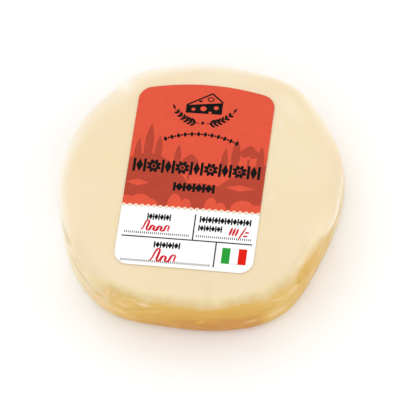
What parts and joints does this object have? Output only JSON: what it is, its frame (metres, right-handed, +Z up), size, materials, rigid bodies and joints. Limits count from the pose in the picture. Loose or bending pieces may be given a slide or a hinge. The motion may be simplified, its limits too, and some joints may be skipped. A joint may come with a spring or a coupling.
{
  "type": "provolone cheese",
  "caption": "Small round cheese wheel with slightly flattened sides, drawn tight in clear film, lying flat with an arched paper label on its upper face.",
  "frame": {"origin": "on the flat base, under the middle of the outline's box", "axes": "+Z up through the upper face, +Y towards the label's arched top edge, +X towards the label's right edge"},
  "size_m": [0.1029, 0.1007, 0.0242],
  "materials": {
    "wrapped_cheese": "clear film drawn tight over pale cream cheese with a golden rind",
    "label": "semi-matt printed paper, red above and white below"
  },
  "bodies": {
    "root": {"wrapped_cheese": "wrapped_cheese", "label": "label"}
  },
  "joints": []
}
